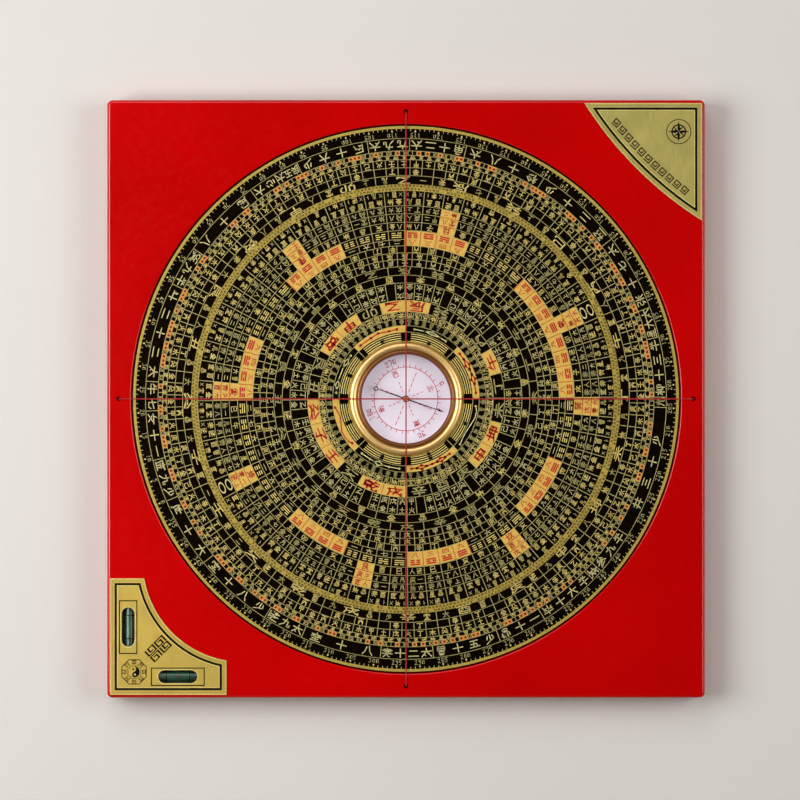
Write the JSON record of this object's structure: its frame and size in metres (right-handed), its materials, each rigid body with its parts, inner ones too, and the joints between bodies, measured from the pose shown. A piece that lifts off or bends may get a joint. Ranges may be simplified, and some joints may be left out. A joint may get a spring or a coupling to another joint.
{
  "type": "feng shui compass",
  "caption": "Square board with a round turning dial of printed rings, a magnetic needle compass in its centre, crossed sighting threads and spirit levels.",
  "frame": {"origin": "on the underside of the board, at its centre, under the axis of the dial", "axes": "+Z out of the face along the dial's axis, +X to the right of the face, +Y to its top; the level plate is at the -X -Y corner"},
  "size_m": [0.286, 0.286, 0.0212],
  "materials": {
    "red_lacquer": "high gloss red, moulded and lacquered",
    "gold_plate": "satin gold with printed black border",
    "corner_gold": "satin gold, slightly greener",
    "vial_clear": "clear polished tube",
    "vial_plug": "matte black-green",
    "vial_band": "black printed band",
    "thread_red": "twisted red thread",
    "bearing_brass": "turned, satin",
    "felt": "pressed felt",
    "dial_body": "black, moulded and turned",
    "dial_print": "black with gold and red print under lacquer",
    "bezel_gold": "polished pale gold",
    "case_brass": "turned, satin",
    "compass_glass": "clear flat glass",
    "gasket": "dark red-brown, matte",
    "card_white": "white with red print",
    "pivot_steel": "hardened and polished",
    "needle_steel": "blued steel",
    "hub_brass": "turned, polished",
    "jewel": "polished red jewel",
    "ring_steel": "spring steel, oiled"
  },
  "bodies": {
    "base": {"base_board": "red_lacquer", "pivot_bush": "bearing_brass", "rim_glide_ring": "felt", "level_plate": "gold_plate", "corner_plate": "corner_gold", "level_vial_x": "vial_clear", "level_vial_y": "vial_clear", "vial_plugs_x": "vial_plug", "vial_plugs_y": "vial_plug", "vial_bands_x": "vial_band", "vial_bands_y": "vial_band", "cross_thread_x": "thread_red", "cross_thread_y": "thread_red"},
    "dial": {"dial_disc": "dial_body", "dial_faceplate": "dial_print", "compass_case": "case_brass", "compass_bezel": "bezel_gold", "compass_glass": "compass_glass", "glass_gasket": "gasket", "compass_card": "card_white", "needle_pivot": "pivot_steel", "retaining_washer": "ring_steel", "retaining_ring": "ring_steel"},
    "needle": {"needle_blade": "needle_steel", "needle_cap": "hub_brass", "needle_jewel": "jewel"}
  },
  "joints": [
    {"name": "dial_turn", "type": "hinge", "parent": "base", "child": "dial", "pos_m": [0, 0, 0.0082], "axis": [0, 0, 1], "continuous": true},
    {"name": "needle_turn", "type": "hinge", "parent": "dial", "child": "needle", "pos_m": [0, 0, 0.0143], "axis": [0, 0, 1], "continuous": true}
  ]
}
